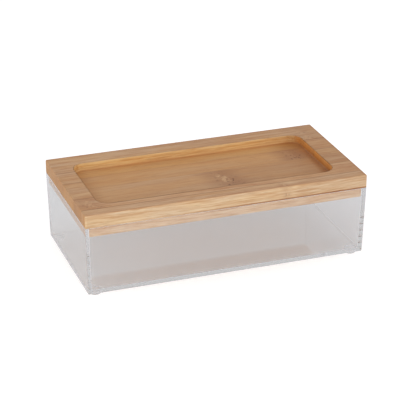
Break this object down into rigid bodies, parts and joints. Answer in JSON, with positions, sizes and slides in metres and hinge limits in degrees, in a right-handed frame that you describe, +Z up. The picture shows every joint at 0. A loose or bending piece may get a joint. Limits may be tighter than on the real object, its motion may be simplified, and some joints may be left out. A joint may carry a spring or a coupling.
{
  "type": "lidded storage organizer",
  "caption": "Clear rectangular storage box on small round feet, closed by a lift-off bamboo lid with a shallow rounded tray cut into its top.",
  "frame": {"origin": "on the surface that the feet stand on, under the middle of the box", "axes": "+X along the box to the right end, +Y from front to back, +Z up"},
  "size_m": [0.24, 0.12, 0.0721],
  "materials": {
    "clear_shell": "clear, polished, moulded",
    "clear_foot": "clear, polished pad",
    "bamboo_rim": "fine-sanded, lightly oiled",
    "bamboo_plug": "fine-sanded, lightly oiled"
  },
  "bodies": {
    "box": {"box_shell": "clear_shell", "foot_front_left": "clear_foot", "foot_front_right": "clear_foot", "foot_back_left": "clear_foot", "foot_back_right": "clear_foot"},
    "lid": {"rim_strip_1": "bamboo_rim", "rim_strip_2": "bamboo_rim", "rim_strip_3": "bamboo_rim", "rim_strip_4": "bamboo_rim", "rim_strip_5": "bamboo_rim", "plug_strip_1": "bamboo_plug", "plug_strip_2": "bamboo_plug", "plug_strip_3": "bamboo_plug", "plug_strip_4": "bamboo_plug", "plug_strip_5": "bamboo_plug"}
  },
  "joints": [
    {"name": "lid_lift", "type": "slide", "parent": "box", "child": "lid", "axis": [0, 0, 1], "range_m": [0, 0.08]}
  ]
}
